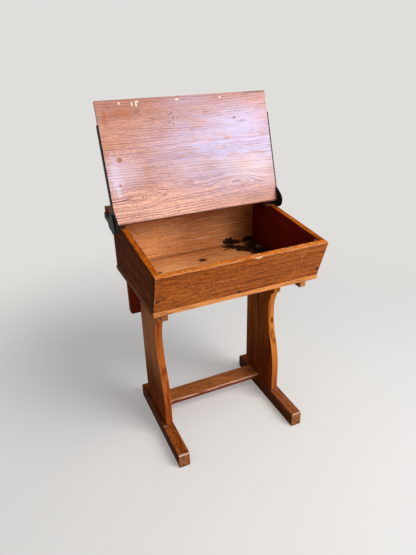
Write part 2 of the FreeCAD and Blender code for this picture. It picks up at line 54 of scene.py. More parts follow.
class Recipe:
    """The nodes of one material, or of the light in the room."""

    def __init__(self, owner):
        owner.use_nodes = True
        self.tree = owner.node_tree
        self.tree.nodes.clear()

    def add(self, kind, inputs=None, **settings):
        """One node. Its inputs go by name or number, and are plain values or another node's output."""
        made = self.tree.nodes.new("ShaderNode" + kind)
        for name, value in settings.items():
            setattr(made, name, value)
        for name, value in (inputs or {}).items():
            if isinstance(value, bpy.types.NodeSocket):
                self.tree.links.new(value, made.inputs[name])
            else:
                made.inputs[name].default_value = value
        return made

    def reckon(self, way, first, second=0.0):
        """One sum, by Blender's name for it, on numbers or on what other nodes give."""
        return self.add("Math", {0: first, 1: second}, operation=way).outputs[0]

    def times(self, first, second):
        return self.reckon("MULTIPLY", first, second)

    def plus(self, first, second):
        return self.reckon("ADD", first, second)

    def minus(self, first, second):
        return self.reckon("SUBTRACT", first, second)

    def larger(self, first, second):
        return self.reckon("MAXIMUM", first, second)

    def unsigned(self, value):
        return self.reckon("ABSOLUTE", value)

    def parts(self, vector):
        """The X, Y and Z of a vector."""
        return self.add("SeparateXYZ", {0: vector}).outputs

    def length(self, vector):
        return self.add("VectorMath", {0: vector}, operation="LENGTH").outputs["Value"]

    def share(self, value, none, full):
        """0 where the value is none, 1 where it is full, and smooth between them."""
        limits = {"Value": value, "From Min": none, "From Max": full}
        return self.add("MapRange", limits, interpolation_type="SMOOTHSTEP").outputs[0]

    def blend(self, share, under, over, way="MIX"):
        return self.add("Mix", {0: share, 6: under, 7: over}, data_type="RGBA", blend_type=way).outputs[2]


class Finish(Recipe):
    """The colour, gloss and relief of one kind of piece, laid on in coats over the piece's coordinates."""

    def __init__(self, name, lie=(0, 0, 0), centre=(0, 0, 0)):
        """lie turns the pattern, in degrees, so that its X runs along the grain and its Z out of the face."""
        self.material = bpy.data.materials.new(name)
        super().__init__(self.material)
        self.here = self.add("TexCoord").outputs["Object"]
        self.board = self.measured(self.here, centre, lie=lie)
        self.colour = None
        self.height = None
        self.dull = None
        self.ring = None

    def measured(self, place, centre, size=(1, 1, 1), lie=(0, 0, 0)):
        """The place as measured from a centre, in lengths of that size and in that lie."""
        turned = [math.radians(angle) for angle in lie]
        laid = {"Vector": place, "Location": centre, "Rotation": turned, "Scale": size}
        return self.add("Mapping", laid, vector_type="TEXTURE").outputs[0]

    def cloud(self, place, scale, none, full, detail=3.0, rough=0.55):
        """A share that comes and goes in clouds, about scale of them a metre."""
        inputs = {"Vector": place, "Scale": scale, "Detail": detail, "Roughness": rough}
        return self.share(self.add("TexNoise", inputs).outputs[0], none, full)

    def streaks(self, along, across, none, full, detail=3.0, rough=0.55, shift=0.0):
        """A share in streaks, so many a metre along the grain and across it. shift keeps two sets apart."""
        sized = {"Vector": self.board, "Location": (shift, shift, shift), "Scale": (along, across, across)}
        return self.cloud(self.add("Mapping", sized).outputs[0], 1.0, none, full, detail, rough)

    def shifted(self, place, along, across, reach, detail=2.0):
        """The place pushed about, up to about a third of reach, by a cloud with so many features a metre."""
        drawn = self.add("Mapping", {"Vector": place, "Scale": (along, across, across)}).outputs[0]
        push = self.add("TexNoise", {"Vector": drawn, "Scale": 1.0, "Detail": detail}).outputs["Color"]
        push = self.add("VectorMath", {0: push, 1: (0.5, 0.5, 0.5)}, operation="SUBTRACT").outputs[0]
        push = self.add("VectorMath", {0: push, "Scale": reach}, operation="SCALE").outputs[0]
        return self.add("VectorMath", {0: place, 1: push}, operation="ADD").outputs[0]

    def facing(self):
        """The X, Y and Z of the way that the surface faces."""
        return self.parts(self.add("NewGeometry").outputs["Normal"])

    def coat(self, share, colour, strength=1.0):
        """Lays a colour over what is there, where the share says."""
        if strength != 1.0:
            share = self.times(share, strength)
        self.colour = self.blend(share, self.colour, colour)

    def lighten(self, share, red, green, blue):
        """Makes what is there so many times lighter, or darker below 1, and keeps its grain."""
        self.colour = self.blend(share, self.colour, (red, green, blue, 1), "MULTIPLY")

    def roughen(self, share, amount):
        """Takes the gloss off where the share says, as on sawn end grain."""
        self.dull = self.larger(self.dull, self.times(share, amount))

    def rings(self, gap, heart, arches, loops):
        """Year rings round the heart of the trunk: 1 on a year's dark line, 0 before it, and some lines are
        faint. An arch is where it starts and ends along the grain, and how far it lifts the rings. A loop,
        round which the rings close as round an eye, is a centre, a size and a height."""
        from_heart = self.measured(self.board, heart)
        bent = self.shifted(from_heart, along=3.3, across=11, reach=0.026)
        waved = self.shifted(bent, along=16, across=55, reach=0.004)
        along, across, deep = self.parts(waved)
        rise = 0.0
        for start, end, lift in arches:
            rise = self.plus(rise, self.times(self.share(along, start, end), lift))
        rise = self.times(rise, self.share(self.unsigned(across), 0.16, 0.02))
        away = self.plus(rise, self.length(self.add("CombineXYZ", {1: across, 2: deep}).outputs[0]))
        for centre, size, height in loops:
            uneven = self.shifted(self.board, along=9, across=25, reach=0.012)
            near = self.length(self.measured(uneven, centre, size))
            away = self.minus(away, self.times(self.share(near, 1.0, 0.0), height))
        year = self.reckon("DIVIDE", away, gap)
        whole_year = {"W": self.reckon("FLOOR", year)}
        luck = self.add("TexWhiteNoise", whole_year, noise_dimensions="1D").outputs["Value"]
        line = self.reckon("POWER", self.reckon("FRACT", year), 3.0)
        return self.times(line, self.share(luck, -0.2, 0.7))

    def wood(self, line, body, light, gap=0.009, heart=(-0.3, 0, -0.03), arches=((-0.07, 0.30, 0.05),),
             loops=(), lines=0.6, fibres=0.45, patches=0.5, mottle=0.14):
        """Body colour with dark year lines, streaks along the grain, open pores and light and dark areas.
        lines, fibres, patches and mottle say how much each of them shows."""
        self.ring = self.rings(gap, heart, arches, loops)
        streak = self.streaks(7, 110, 0.42, 0.66, detail=4.0, rough=0.6)
        fleck = self.streaks(30, 300, 0.55, 0.66, detail=2.0, rough=0.5, shift=8.0)
        fine = self.streaks(14, 420, 0.38, 0.68, rough=0.6, shift=3.0)
        broad = self.streaks(2.2, 9, 0.40, 0.60, shift=7.0)
        self.colour = self.blend(self.times(broad, patches), body, light)
        self.coat(self.times(streak, fibres), line, 0.7)
        late = self.times(self.ring, self.streaks(3, 16, 0.30, 0.54, detail=2.0, shift=1.0))
        self.coat(late, line, lines)
        self.coat(fleck, line, 0.8 * fibres)
        self.coat(fine, line, 0.35 * fibres)
        pores = self.streaks(45, 1100, 0.60, 0.72, detail=1.0, shift=5.0)
        self.coat(pores, line, 0.5)
        grit = self.streaks(110, 330, 0.36, 0.64, rough=0.7, shift=12.0)
        self.lighten(self.minus(1.0, grit), 1 - mottle, 1 - 1.2 * mottle, 1 - 1.4 * mottle)
        self.lighten(grit, 1 + mottle, 1 + mottle, 1 + mottle)
        self.height = self.minus(1.0, self.times(self.plus(late, streak), 0.35))
        self.height = self.minus(self.height, self.times(self.plus(pores, fleck), 0.4))
        self.dull = self.times(self.plus(streak, fine), 0.5)

    def spot(self, centre, size, ragged=0.0, soft=0.45, place=None):
        """1 in a spot of that size about a point, 0 outside it, with a ragged edge if asked. The point is in
        the frame's coordinates, or in those of the place that is given."""
        place = self.here if place is None else place
        if ragged:
            place = self.shifted(place, 120, 120, ragged, detail=3.0)
        return self.share(self.length(self.measured(place, centre, size)), 1.0, 1.0 - soft)

    def mark(self, centre, size, colour, strength=1.0, ragged=0.0, soft=0.45):
        """A stain, a worn part, a dent or a chip, as a spot of another colour."""
        self.coat(self.spot(centre, size, ragged, soft), colour, strength)

    def edges(self, width):
        """1 along the piece's own edges, where hands and books rub it, and 0 on its faces."""
        rounded = self.add("Bevel", {"Radius": width}, samples=6).outputs[0]
        flat = self.add("NewGeometry").outputs["Normal"]
        turn = self.add("VectorMath", {0: rounded, 1: flat}, operation="DOT_PRODUCT").outputs["Value"]
        bare = self.share(self.minus(1.0, turn), 0.03, 0.22)
        return self.times(bare, self.streaks(16, 60, 0.40, 0.60, shift=9.0))

    def corners(self, reach):
        """1 deep in joints and inside corners, where dirt and old wax stay and little light reaches: dirt and
        painted shade.
        """
        open_sky = self.add("AmbientOcclusion", {"Distance": reach}, samples=6).outputs["AO"]
        return self.share(open_sky, 0.72, 0.30)

    def done(self, gloss=0.42, spread=0.16, varnish=0.0, varnish_gloss=0.3, relief=0.0006, metal=0.0,
             sheen=0.25):
        """Joins the coats to the shader. gloss is the roughness of the smoothest parts, and spread is how
        much rougher the dull ones are."""
        shader = self.add("BsdfPrincipled")
        self.tree.links.new(self.colour, shader.inputs["Base Color"])
        rough = self.plus(self.times(self.dull, spread), gloss)
        self.tree.links.new(rough, shader.inputs["Roughness"])
        bump = self.add("Bump", {"Height": self.height, "Strength": 0.6, "Distance": relief}).outputs[0]
        self.tree.links.new(bump, shader.inputs["Normal"])
        shader.inputs["Metallic"].default_value = metal
        shader.inputs["Specular IOR Level"].default_value = sheen
        shader.inputs["Coat Weight"].default_value = varnish
        shader.inputs["Coat Roughness"].default_value = varnish_gloss
        self.add("OutputMaterial", {"Surface": shader.outputs[0]})
        return self.material


def put_on(material, *names):
    """Every slot of these pieces takes the finish."""
    for name in names:
        for slot in cad_pieces[name].material_slots:
            slot.material = material


rubbed_wood = shade(214, 132, 62)
# The dark of joints and inside corners, laid where the least light reaches: dirt and painted shade.
dirt_and_shade = shade(46, 20, 9)

front_low, front_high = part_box("front_board")
front_lean = 18.7
front = Finish("front_board_wood", lie=(90 + front_lean, 0, 0), centre=(0, front_low[1], front_low[2]))
front.wood(line=shade(96, 36, 10), body=shade(188, 98, 30), light=shade(203, 114, 42), gap=0.012,
           heart=(-0.35, 0.04, -0.02), arches=((-0.07, 0.30, 0.06),), lines=0.55, fibres=0.72, mottle=0.30)

# The top edge: bright wood, with dirt in its open grain and small pale chips, and before it a worn arris
# with a painted highlight along it.
_, front_back, front_up = front.parts(front.here)
front_rim = front.share(front_up, front_high[2] - 0.0035, front_high[2] - 0.0012)
rim_wear = front.streaks(9, 140, 0.72, 0.46, shift=4.0)
front.coat(front.times(front_rim, rim_wear), shade(208, 112, 24), 0.95)
rim_dirt = front.streaks(24, 260, 0.54, 0.66, shift=14.0)
front.coat(front.times(front_rim, rim_dirt), shade(128, 56, 12), 0.7)
rim_chips = front.streaks(55, 210, 0.56, 0.64, shift=18.0)
front.coat(front.times(front_rim, rim_chips), shade(238, 190, 128), 0.6)
front.coat(front.edges(0.004), rubbed_wood, 0.75)
# The arris: a painted highlight on worn wood.
arris_wear_and_highlight = front.times(front.share(front_back, front_low[1] + 0.0045, front_low[1] + 0.0015),
                    front.share(front_up, front_high[2] - 0.0070, front_high[2] - 0.0035))
arris_wear_and_highlight = front.times(arris_wear_and_highlight, front.streaks(30, 60, 0.38, 0.54, shift=2.0))
front.coat(arris_wear_and_highlight, shade(226, 152, 98), 0.55)

# Marks of use: a chip out of the rim, two pale scratches near the right end, a dark dent in the lower edge,
# and the nails' rust, with one bright scar beside it.
rim_chip = (0.035, -0.233, 0.7115)
long_scratch = (0.192, -0.221, 0.675)
short_scratch = (0.176, -0.206, 0.632)
lower_dent = (-0.006, -0.193, 0.5935)
rust_stains = ((-0.2655, -0.2055, 0.6305), (0.2655, -0.2000, 0.6145))
bright_scar = (-0.2725, -0.206, 0.632)
front.mark(rim_chip, (0.014, 0.006, 0.004), shade(240, 205, 150), 0.9, ragged=0.004)
front.mark(long_scratch, (0.0035, 0.03, 0.042), shade(196, 130, 84), 0.4, ragged=0.006)
front.mark(short_scratch, (0.003, 0.03, 0.028), shade(190, 124, 76), 0.3, ragged=0.006)
front.mark(lower_dent, (0.009, 0.02, 0.006), shade(30, 22, 30), 0.95, ragged=0.003)
for rust in rust_stains:
    front.mark(rust, (0.008, 0.012, 0.007), shade(48, 18, 8), 0.8, ragged=0.006)
front.mark(bright_scar, (0.004, 0.01, 0.0028), shade(186, 152, 132), 0.8, ragged=0.002)
front_end_grain = front.share(front.unsigned(front.facing()[0]), 0.6, 0.9)
front.coat(front_end_grain, shade(58, 27, 8), 0.95)
front.roughen(front_end_grain, 3.4)
# Dirt and painted shade in the joints and corners.
front.coat(front.corners(0.02), dirt_and_shade, 0.5)
put_on(front.done(gloss=0.45, sheen=0.08), "front_board")


# Side boards of the book box: planks with the grain from front to rear. The front board covers their front
# ends, and the rear board stands between them. Their outer faces have gone dark brown with handling, their
# inner faces red, and their top edges are rubbed bright as the front's is.

side_low, side_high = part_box("left_side")
side_inner = -side_high[0]
sides = Finish("side_board_wood", lie=(90, 0, 90), centre=(0, side_low[1], side_low[2]))
sides.wood(line=shade(40, 14, 2), body=shade(112, 50, 10), light=shade(128, 62, 18), gap=0.011,
           heart=(0.05, 0.06, -0.02), arches=((-0.07, 0.30, 0.08),), lines=0.7, fibres=0.9, mottle=0.25)
from_middle = sides.unsigned(sides.parts(sides.here)[0])
inner_face = sides.share(from_middle, side_inner + 0.004, side_inner + 0.001)
sides.coat(inner_face, shade(104, 26, 4), 0.75)
side_rim = sides.share(sides.facing()[2], 0.55, 0.85)
rim_wear = sides.streaks(9, 140, 0.72, 0.46, shift=4.0)
sides.coat(sides.times(side_rim, rim_wear), shade(186, 94, 18), 0.95)
rim_dirt = sides.streaks(24, 260, 0.52, 0.64, shift=14.0)
sides.coat(sides.times(side_rim, rim_dirt), shade(100, 40, 10), 0.7)
sides.coat(sides.edges(0.003), rubbed_wood, 0.3)

# The bare grey places beside the notches in which the corners of the lid lie.
bare_side = 0.262
bare_back = 0.105
bare_up = 0.741
for sign in (-1, 1):
    sides.mark((sign * bare_side, bare_back, bare_up), (0.016, 0.022, 0.014), shade(118, 98, 92), 0.8,
               ragged=0.006)
# Dirt and painted shade in the joints and corners.
sides.coat(sides.corners(0.02), dirt_and_shade, 0.5)
put_on(sides.done(gloss=0.6, sheen=0.01), "left_side", "right_side")


# Rear board of the book box: a paler, plainer plank, with its grain across the desk. Its inner face was only
# waxed, and has light streaks and a few pale arches in it, painted light on its left part and painted shade
# on its right. Ink has run down it at the right.

rear_low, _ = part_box("rear_board")
rear_inner = 0.197
rear_outer = 0.2125
rear = Finish("rear_board_wood", lie=(90, 0, 0), centre=(0, rear_low[1], rear_low[2]))
rear_loops = (((-0.155, 0.112, 0), (0.120, 0.046, 0.1), 0.052),)
rear.wood(line=shade(140, 72, 32), body=shade(214, 136, 78), light=shade(228, 160, 102), gap=0.0092,
          heart=(-0.27, -0.05, -0.01), arches=((0.03, 0.60, 0.02),), loops=rear_loops, lines=0.6, fibres=0.5)
# A pool of painted light on the left of the inner face.
painted_light_pool = rear.spot((-0.18, rear_inner, 0.66), (0.20, 0.05, 0.16), ragged=0.05, soft=0.95)
rear.lighten(painted_light_pool, 1.85, 2.25, 2.5)
wax_streaks = rear.streaks(9, 130, 0.54, 0.66, shift=11.0)
rear.coat(wax_streaks, shade(240, 196, 150), 0.5)
arched_part = rear.spot((-0.14, rear_inner, 0.675), (0.20, 0.05, 0.08), ragged=0.05, soft=0.6)
waxed_rings = rear.times(rear.share(rear.ring, 0.2, 0.8), arched_part)
rear.coat(waxed_rings, shade(252, 222, 188), 0.6)
# Painted shade on the right of the inner face, where the right side board shades it.
painted_shade_right = rear.spot((0.22, rear_inner, 0.64), (0.11, 0.05, 0.14), ragged=0.05, soft=0.95)
rear.lighten(painted_shade_right, 0.54, 0.46, 0.26)

# Runs of ink: the middle of each, to the right and up, then its half width and half height.
ink_runs = ((0.150, 0.588, 0.022, 0.016), (0.175, 0.578, 0.030, 0.012), (0.235, 0.580, 0.030, 0.016))
for side, up, wide, high in ink_runs:
    rear.mark((side, rear_inner, up), (wide, 0.02, high), shade(18, 10, 6), 0.95, ragged=0.03, soft=0.15)
outer_face = rear.share(rear.parts(rear.here)[1], rear_outer - 0.002, rear_outer)
rear.coat(outer_face, shade(122, 56, 18), 0.75)
rear.coat(rear.edges(0.004), rubbed_wood, 0.4)
# Old wax and dirt with painted shade in the joints and corners, for the rear and the bottom board.
wax_dirt_and_shade = shade(52, 24, 10)
rear.coat(rear.corners(0.018), wax_dirt_and_shade, 0.85)
put_on(rear.done(gloss=0.5, sheen=0.2), "rear_board")


# Bottom board: the plank under the whole box, nailed on from below. Its front edge stands out as a pale
# orange strip, and its ends are dark. Inside there is a knot hole with a crack beside it, painted light on
# the left, and old ink spilt in the rear right corner.

bottom = Finish("bottom_board_wood", centre=(0, 0, 0.575))
bottom.wood(line=shade(138, 74, 34), body=shade(222, 146, 88), light=shade(232, 162, 106), gap=0.013,
            heart=(-0.05, 0.10, -0.02), lines=0.55, fibres=0.6)
# A pool of painted light on the left of the floor inside the box.
bottom_painted_light = bottom.spot((-0.15, -0.02, 0.576), (0.20, 0.26, 0.05), ragged=0.05, soft=0.95)
bottom.lighten(bottom_painted_light, 1.65, 2.2, 2.8)
bottom_faces = bottom.facing()
bottom_ends = bottom.share(bottom.unsigned(bottom_faces[0]), 0.6, 0.9)
bottom_top = bottom.share(bottom_faces[2], 0.5, 0.9)
lip_front = -0.188
lip = bottom.share(bottom.parts(bottom.here)[1], lip_front + 0.004, lip_front)
bottom.coat(lip, shade(226, 142, 74))
lip_dirt = bottom.streaks(16, 150, 0.50, 0.64, shift=5.0)
bottom.coat(bottom.times(lip, lip_dirt), shade(148, 80, 34), 0.7)
bottom.coat(bottom.edges(0.004), shade(230, 172, 122), 0.5)
bottom.coat(bottom_ends, shade(74, 34, 12), 0.9)
bottom.roughen(bottom_ends, 3.0)
round_the_knot = (0.006, 0.106, 0.576)
knot_hole = (0.004, 0.104, 0.576)
crack = (0.045, 0.136, 0.575)
bottom.mark(round_the_knot, (0.022, 0.018, 0.02), shade(116, 58, 28), 0.8, ragged=0.006)
bottom.mark(knot_hole, (0.011, 0.010, 0.02), shade(16, 7, 4), ragged=0.003, soft=0.2)
bottom.mark(crack, (0.045, 0.004, 0.02), shade(70, 34, 16), 0.8, ragged=0.014)

# Ink blots: the middle of each, to the right and back, then its half width and half depth. The ink ran round
# small high places in the grain and missed them.
blots = ((0.145, 0.186, 0.026, 0.014), (0.165, 0.165, 0.034, 0.020), (0.190, 0.130, 0.040, 0.026),
         (0.220, 0.105, 0.044, 0.028), (0.235, 0.160, 0.034, 0.030), (0.242, 0.050, 0.030, 0.060),
         (0.205, 0.070, 0.026, 0.018), (0.118, 0.156, 0.014, 0.007))
blot_up = 0.574
not_missed = bottom.cloud(bottom.shifted(bottom.here, 90, 90, 0.03), 55.0, 0.32, 0.38)
inked = bottom.times(not_missed, bottom_top)
for side, back, wide, deep in blots:
    spilt = bottom.spot((side, back, blot_up), (wide, deep, 1.0), ragged=0.05, soft=0.12)
    bottom.coat(bottom.times(spilt, inked), shade(13, 7, 4), 0.97)
# Old wax and dirt with painted shade in the joints and corners.
bottom.coat(bottom.corners(0.018), wax_dirt_and_shade, 0.85)
put_on(bottom.done(gloss=0.5, sheen=0.2), "bottom_board")


# Corner blocks: a small square stick of the box's wood, glued upright into each front corner behind the
# leaning front board. Its top ends just under the rim.

block_side = 0.013
block_height = 0.05
block_arris = 0.0012
block_lean = math.radians(front_lean)
inner_rim = Vector((0, -0.2126, 0.7151))
below_rim = 0.0015


def piece_from(made, name, material):
    """A finished bmesh made into a piece with that finish."""
    mesh = bpy.data.meshes.new(name)
    made.to_mesh(mesh)
    made.free()
    mesh.materials.append(material)
    piece = bpy.data.objects.new(name, mesh)
    bpy.context.collection.objects.link(piece)
    return piece


stick_wood = Finish("corner_block_wood", lie=(0, 90, 0))
stick_wood.wood(line=shade(70, 26, 12), body=shade(132, 60, 26), light=shade(150, 78, 40), gap=0.004,
                fibres=0.6)
stick_wood.coat(stick_wood.edges(0.002), shade(214, 150, 112), 0.5)

corner_sticks = bmesh.new()
for sign in (-1, 1):
    stick = bmesh.ops.create_cube(corner_sticks, size=1.0)["verts"]
    drop = below_rim + block_height / 2
    middle = inner_rim + Vector((sign * (side_inner - block_side / 2), drop * math.sin(block_lean),
                                 -drop * math.cos(block_lean)))
    middle.y += block_side / 2 / math.cos(block_lean)
    size = Matrix.Diagonal((block_side, block_side, block_height, 1))
    lean = Matrix.Rotation(block_lean, 4, "X")
    bmesh.ops.transform(corner_sticks, matrix=Matrix.Translation(middle) @ lean @ size, verts=stick)
bmesh.ops.bevel(corner_sticks, geom=corner_sticks.edges[:], offset=block_arris, offset_type="OFFSET",
                affect="EDGES", segments=2, profile=0.5, material=-1)
corner_blocks = piece_from(corner_sticks, "corner_blocks", stick_wood.done(gloss=0.5))
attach(corner_blocks, "desk")


# Rear ledge: the fixed strip behind the lid, of the same wood as the lid, with its grain across the desk. It
# is nailed down on the side boards and the rear board, and carries the hinge irons on its ends.

ledge = Finish("rear_ledge_wood", centre=(0, 0.17, 0.76))
ledge.wood(line=shade(72, 26, 8), body=shade(146, 70, 26), light=shade(170, 92, 42), gap=0.010,
           heart=(-0.3, 0.03, -0.02))
ledge_half = 0.288
ledge_end = ledge.share(ledge.unsigned(ledge.parts(ledge.here)[0]), ledge_half - 0.004, ledge_half)
ledge.coat(ledge_end, shade(104, 40, 14), 0.8)
ledge.roughen(ledge_end, 3.4)
ledge.coat(ledge.edges(0.004), rubbed_wood, 0.3)
# Dirt and painted shade in the joints and corners.
ledge.coat(ledge.corners(0.02), dirt_and_shade, 0.5)
put_on(ledge.done(gloss=0.42, sheen=0.2), "rear_ledge")


# Writing lid: one wide board, its grain across the desk. The underside, which faces forward when the lid is
# up, has a pinkish haze over the red-brown, partly old polish and partly a painted reflection of the light,
# arches near the hinge edge, a knot, ink spots, and chips along its edge. The face that is written on is
# browner.

lid_turn = 72.5
lid_up = Vector((0, math.cos(math.radians(lid_turn)), math.sin(math.radians(lid_turn))))
lid_out = Vector((0, -math.sin(math.radians(lid_turn)), math.cos(math.radians(lid_turn))))
hinge_edge = lid_up * 0.742 + lid_out * 0.1495
lid_loops = (((-0.325, 0.080, 0), (0.105, 0.042, 0.1), 0.052),
             ((-0.210, 0.082, 0), (0.105, 0.050, 0.1), 0.050),
             ((0.134, 0.103, 0), (0.125, 0.032, 0.1), 0.026))
lid = Finish("lid_wood", lie=(lid_turn, 0, 0), centre=hinge_edge)
lid.wood(line=shade(104, 54, 56), body=shade(220, 146, 112), light=shade(230, 166, 136), gap=0.0078,
         heart=(-0.335, 0.080, -0.004), arches=((0.05, 0.60, 0.02),), loops=lid_loops, lines=0.9,
         fibres=0.36, mottle=0.16)
_, up_lid, out_of_lid = lid.parts(lid.board)
underside = lid.share(out_of_lid, -0.012, -0.004)


def lid_mark(side, up, wide, high, colour, strength, ragged=0.002, soft=0.45):
    """A stain, a worn part or a chip on the underside: so far to the right, and so far up from the hinge
    edge, then its half width and half height."""
    spot = lid.spot((side, up, 0), (wide, high, 1.0), ragged, soft, lid.board)
    lid.coat(lid.times(spot, underside), colour, strength)


# A darker band near the top, and a warmer, paler one near the hinge edge.
lid_mark(-0.08, 0.37, 0.46, 0.13, shade(158, 92, 70), 0.55, ragged=0.08, soft=0.9)
warm_part = lid.spot((-0.20, 0.03, 0), (0.42, 0.13, 1.0), soft=0.8, place=lid.board)
lid.lighten(warm_part, 1.5, 1.85, 2.15)

# The haze in the old polish, thickest at the right and in a strip at the left, with a painted reflection of
# the light laid in it.
haze_and_reflection = lid.streaks(13, 48, 0.20, 0.62, detail=6.0, rough=0.68, shift=4.0)
haze_and_reflection_part = lid.spot((0.16, 0.205, 0), (0.44, 0.21, 1.0), ragged=0.05, soft=0.85, place=lid.board)
haze_and_reflection_part = lid.times(haze_and_reflection_part, underside)
lid.coat(lid.times(haze_and_reflection, haze_and_reflection_part), shade(206, 200, 242), 0.76)
lid_mark(0.18, 0.29, 0.14, 0.07, shade(212, 200, 236), 0.4, ragged=0.06, soft=0.95)
lid_mark(0.20, 0.13, 0.16, 0.07, shade(252, 220, 210), 0.5, ragged=0.06, soft=0.95)
lid_mark(0.0, 0.36, 0.14, 0.03, shade(190, 162, 184), 0.45, ragged=0.06, soft=0.95)
lid_mark(0.05, 0.155, 0.26, 0.034, shade(226, 178, 146), 0.3, ragged=0.03, soft=0.9)
lid_mark(-0.265, 0.15, 0.034, 0.10, shade(240, 222, 240), 0.75, ragged=0.05, soft=0.95)
lid_mark(-0.235, 0.16, 0.09, 0.085, shade(238, 212, 230), 0.55, ragged=0.06, soft=0.95)
lid_mark(-0.262, 0.108, 0.010, 0.022, shade(252, 240, 248), 0.7, ragged=0.02, soft=0.8)

# Year lines that show through the haze, darker in the arches.
through_haze = lid.times(lid.ring, lid.streaks(4, 20, 0.36, 0.58, shift=23.0))
lid.coat(lid.times(through_haze, underside), shade(132, 88, 108), 0.6)
for centre, size, _ in lid_loops:
    wide = size[0] + 0.02
    high = size[1] + 0.012
    arched_part = lid.spot(centre, (wide, high, 1.0), soft=0.5, place=lid.board)
    lid.coat(lid.times(lid.ring, arched_part), shade(104, 52, 58), 1.0 if centre[0] < 0 else 0.6)

# Orange places at the upper left where the polish is gone, and a small one below them.
lid_mark(-0.22, 0.335, 0.060, 0.020, shade(170, 90, 30), 0.65, ragged=0.05, soft=0.7)
lid_mark(-0.268, 0.328, 0.012, 0.034, shade(170, 90, 28), 0.8, ragged=0.02, soft=0.7)
lid_mark(-0.165, 0.338, 0.016, 0.014, shade(150, 74, 40), 0.65, ragged=0.02, soft=0.7)
lid_mark(-0.165, 0.164, 0.008, 0.022, shade(206, 132, 66), 0.5, ragged=0.01, soft=0.8)

# A round knot with a pale middle and a smaller one under it, at the left. A dent and a scratch, at the right.
lid_mark(-0.244, 0.202, 0.0105, 0.0095, shade(150, 72, 32), 0.95, ragged=0.003)
lid_mark(-0.244, 0.202, 0.0055, 0.004, shade(196, 120, 70), 0.9)
lid_mark(-0.255, 0.126, 0.005, 0.005, shade(176, 90, 44), 0.9)
lid_mark(0.162, 0.298, 0.007, 0.0035, shade(62, 46, 42), 0.95)
lid_mark(0.19, 0.286, 0.022, 0.004, shade(128, 100, 116), 0.5, ragged=0.012)

# Specks of red ink, and a pale fleck on a brown stain.
ink_specks = ((-0.062, 0.325), (-0.055, 0.328), (-0.048, 0.314), (-0.035, 0.314), (-0.053, 0.310),
              (-0.063, 0.303), (-0.067, 0.2985), (-0.055, 0.295))
for side, up in ink_specks:
    lid_mark(side, up, 0.0038, 0.0022, shade(92, 14, 30), 0.9, ragged=0.004)
lid_mark(0.0, 0.107, 0.0035, 0.003, shade(248, 232, 218), 0.9)
lid_mark(-0.03, 0.107, 0.026, 0.008, shade(176, 104, 74), 0.5, ragged=0.012)

# Chips out of the top edge, down to pale wood: where each is, then its half width and half height.
chips = ((-0.216, 0.0035, 0.005), (-0.177, 0.003, 0.009), (-0.164, 0.003, 0.010), (-0.160, 0.006, 0.003),
         (-0.030, 0.008, 0.004), (0.120, 0.0035, 0.005))
top_edge = 0.3715
for side, wide, high in chips:
    lid_mark(side, top_edge - high, wide, high, shade(250, 236, 205), 0.85, ragged=0.004)

# The face that is written on, rubbed paler in places. Then the edges, worn pale, with dark places at the
# upper right, at the lower right corner and along the hinge edge.
writing_face = lid.share(out_of_lid, -0.006, -0.014)
lid.coat(writing_face, shade(146, 72, 26), 0.75)
rubbed = lid.streaks(5, 18, 0.50, 0.70, shift=17.0)
lid.coat(lid.times(writing_face, rubbed), shade(196, 122, 70), 0.5)
lid.coat(lid.edges(0.0035), shade(232, 164, 124), 0.5)
lid_mark(0.25, top_edge + 0.003, 0.06, 0.0035, shade(104, 50, 26), 0.85, ragged=0.006)
lid_mark(0.289, 0.03, 0.009, 0.036, shade(128, 66, 46), 0.75, ragged=0.008)
lid.coat(lid.share(up_lid, 0.0130, 0.0090), shade(100, 42, 12), 0.9)
put_on(lid.done(gloss=0.36, spread=0.16, varnish=0.45, varnish_gloss=0.40, sheen=0.5), "lid")


# Hinge irons: black japanned cast iron. Each arm is screwed to an end of the lid and turns on a rivet in the
# cheek of a bracket, which is screwed to the end of the ledge. The black is worn to grey metal on the edges.
# A thin web is cast into the corner between the round of the cheek and the lower edge of the plate.

iron = Finish("black_iron")
lumps = iron.cloud(iron.here, 260.0, 0.30, 0.75, detail=4.0)
iron.colour = iron.blend(lumps, shade(4, 4, 7), shade(13, 13, 18))
iron.coat(iron.edges(0.0015), shade(70, 74, 84), 0.25)
iron.height = lumps
iron.dull = lumps
black_iron = iron.done(gloss=0.42, spread=0.25, relief=0.0005, sheen=0.12)
put_on(black_iron, "left_lid_arm", "right_lid_arm", "left_hinge_bracket", "right_hinge_bracket")

web_corners = ((0.1260, 0.7275), (0.1600, 0.7300), (0.1720, 0.7490), (0.1360, 0.7520))
web_inside = 0.2935
web_thickness = 0.0036
web_arris = 0.0006
webs = bmesh.new()
for sign in (-1, 1):
    corners = [webs.verts.new((sign * web_inside, back, up)) for back, up in web_corners]
    web = webs.faces.new(corners)
    grown = bmesh.ops.extrude_face_region(webs, geom=[web])["geom"]
    moved = [part for part in grown if isinstance(part, bmesh.types.BMVert)]
    bmesh.ops.translate(webs, vec=(sign * web_thickness, 0, 0), verts=moved)
bmesh.ops.recalc_face_normals(webs, faces=webs.faces[:])
bmesh.ops.bevel(webs, geom=webs.edges[:], offset=web_arris, offset_type="OFFSET", affect="EDGES",
                segments=2, profile=0.5, material=-1)
bracket_webs = piece_from(webs, "bracket_webs", black_iron)
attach(bracket_webs, "desk")

steel = Finish("screw_steel")
scratches = steel.cloud(steel.here, 900.0, 0.35, 0.70)
steel.colour = steel.blend(scratches, shade(44, 43, 45), shade(86, 82, 80))
rusty = steel.cloud(steel.here, 150.0, 0.52, 0.66)
steel.coat(rusty, shade(84, 50, 30), 0.6)
steel.height = scratches
steel.dull = scratches
worn_steel = steel.done(gloss=0.36, spread=0.2, relief=0.0003, metal=0.8)
put_on(worn_steel, "left_pivot", "right_pivot", "arm_screws", "bracket_screws")
